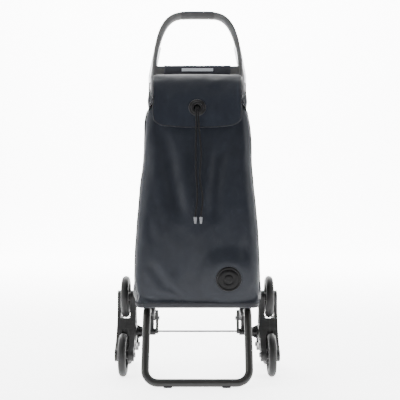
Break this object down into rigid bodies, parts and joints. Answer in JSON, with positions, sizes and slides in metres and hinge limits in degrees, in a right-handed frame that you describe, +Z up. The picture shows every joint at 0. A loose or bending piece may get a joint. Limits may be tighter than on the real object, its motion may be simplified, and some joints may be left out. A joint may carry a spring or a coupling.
{
  "type": "folding shopping trolley",
  "caption": "Two-tube folding shopping trolley with a tapered fabric bag, flap lid, loop handle, fold-up U foot and stair-climbing wheel clusters.",
  "frame": {"origin": "on the ground, below the middle of the trolley's overall box", "axes": "+X across the trolley to its right as seen from the front of the bag, +Y from the bag's front to the handle side, +Z up"},
  "size_m": [0.46, 0.386, 1.0484],
  "materials": {
    "tube_aluminium": "satin anodised",
    "handle_plastic": "fine-grained moulding",
    "bracket_plastic": "fine-grained moulding",
    "steel": "zinc plated",
    "cap_plastic": "moulded",
    "lever_plastic": "moulded",
    "rod_steel": "black coated",
    "bag_fabric": "coated polyester, slate navy, soft sheen",
    "sleeve_fabric": "coated polyester",
    "label_fabric": "plain woven label",
    "webbing": "woven webbing",
    "cord": "braided polyester cord",
    "cord_tip": "moulded",
    "badge_rubber": "soft moulded badge",
    "grommet_plastic": "moulded",
    "foot_paint": "satin powder coat",
    "pad_rubber": "matt rubber",
    "cluster_plastic": "fine-grained moulding",
    "tyre": "grey rubber",
    "rim_plastic": "moulded"
  },
  "bodies": {
    "frame": {"side_tube_left": "tube_aluminium", "side_tube_right": "tube_aluminium", "handle": "handle_plastic", "handle_screws": "steel", "hanger_sleeve": "sleeve_fabric", "sleeve_label": "label_fabric", "hub_bracket_left": "bracket_plastic", "hub_bracket_right": "bracket_plastic", "bracket_bolts": "steel", "axle_left": "steel", "axle_right": "steel", "axle_caps": "cap_plastic", "thrust_washers": "steel", "axle_cone_left": "bracket_plastic", "axle_cone_right": "bracket_plastic", "fold_pin_left": "steel", "fold_pin_right": "steel", "latch_pins": "steel", "bag_body": "bag_fabric", "hem_cord": "cord", "bag_ties": "webbing", "badge": "badge_rubber", "drawcord_left": "cord", "drawcord_right": "cord", "cord_end_left": "cord_tip", "cord_end_right": "cord_tip"},
    "foot": {"foot_tube": "foot_paint", "foot_end_left": "bracket_plastic", "foot_end_right": "bracket_plastic", "foot_pad_left": "pad_rubber", "foot_pad_right": "pad_rubber"},
    "latch": {"latch_lever_left": "lever_plastic", "latch_lever_right": "lever_plastic", "latch_rod": "rod_steel"},
    "flap": {"flap_panel": "bag_fabric", "grommet_front": "grommet_plastic", "grommet_back": "grommet_plastic"},
    "cluster_left": {"cluster_inner_left": "cluster_plastic", "cluster_outer_left": "cluster_plastic", "cluster_bolts_left": "steel", "cluster_sleeves_left": "steel"},
    "cluster_right": {"cluster_inner_right": "cluster_plastic", "cluster_outer_right": "cluster_plastic", "cluster_bolts_right": "steel", "cluster_sleeves_right": "steel"},
    "wheel_left_top": {"tyre_left_top": "tyre", "rim_left_top": "rim_plastic"},
    "wheel_left_front": {"tyre_left_front": "tyre", "rim_left_front": "rim_plastic"},
    "wheel_left_rear": {"tyre_left_rear": "tyre", "rim_left_rear": "rim_plastic"},
    "wheel_right_top": {"tyre_right_top": "tyre", "rim_right_top": "rim_plastic"},
    "wheel_right_front": {"tyre_right_front": "tyre", "rim_right_front": "rim_plastic"},
    "wheel_right_rear": {"tyre_right_rear": "tyre", "rim_right_rear": "rim_plastic"}
  },
  "joints": [
    {"name": "foot_fold", "type": "hinge", "parent": "frame", "child": "foot", "pos_m": [0, -0.025, 0.182], "axis": [-1, 0, 0], "range_deg": [0, 90], "deforming": ["bag_body"]},
    {"name": "latch_swing", "type": "hinge", "parent": "frame", "child": "latch", "pos_m": [0, 0.04467, 0.151], "axis": [-1, 0, 0], "range_deg": [0, 12], "stiffness_Nm_per_rad": 0.6, "springref_deg": -5.73},
    {"name": "flap_open", "type": "hinge", "parent": "frame", "child": "flap", "pos_m": [0, 0.0635, 0.846], "axis": [-1, 0, 0], "range_deg": [0, 80], "deforming": ["drawcord_left", "drawcord_right"]},
    {"name": "cluster_spin_left", "type": "hinge", "parent": "frame", "child": "cluster_left", "pos_m": [0, 0.04467, 0.111], "axis": [1, 0, 0], "continuous": true},
    {"name": "cluster_spin_right", "type": "hinge", "parent": "frame", "child": "cluster_right", "pos_m": [0, 0.04467, 0.111], "axis": [1, 0, 0], "continuous": true},
    {"name": "wheel_spin_left_top", "type": "hinge", "parent": "cluster_left", "child": "wheel_left_top", "pos_m": [-0.207, 0.04467, 0.213], "axis": [1, 0, 0], "continuous": true},
    {"name": "wheel_spin_left_front", "type": "hinge", "parent": "cluster_left", "child": "wheel_left_front", "pos_m": [-0.207, -0.04367, 0.06], "axis": [1, 0, 0], "continuous": true},
    {"name": "wheel_spin_left_rear", "type": "hinge", "parent": "cluster_left", "child": "wheel_left_rear", "pos_m": [-0.207, 0.133, 0.06], "axis": [1, 0, 0], "continuous": true},
    {"name": "wheel_spin_right_top", "type": "hinge", "parent": "cluster_right", "child": "wheel_right_top", "pos_m": [0.207, 0.04467, 0.213], "axis": [1, 0, 0], "continuous": true},
    {"name": "wheel_spin_right_front", "type": "hinge", "parent": "cluster_right", "child": "wheel_right_front", "pos_m": [0.207, -0.04367, 0.06], "axis": [1, 0, 0], "continuous": true},
    {"name": "wheel_spin_right_rear", "type": "hinge", "parent": "cluster_right", "child": "wheel_right_rear", "pos_m": [0.207, 0.133, 0.06], "axis": [1, 0, 0], "continuous": true}
  ]
}
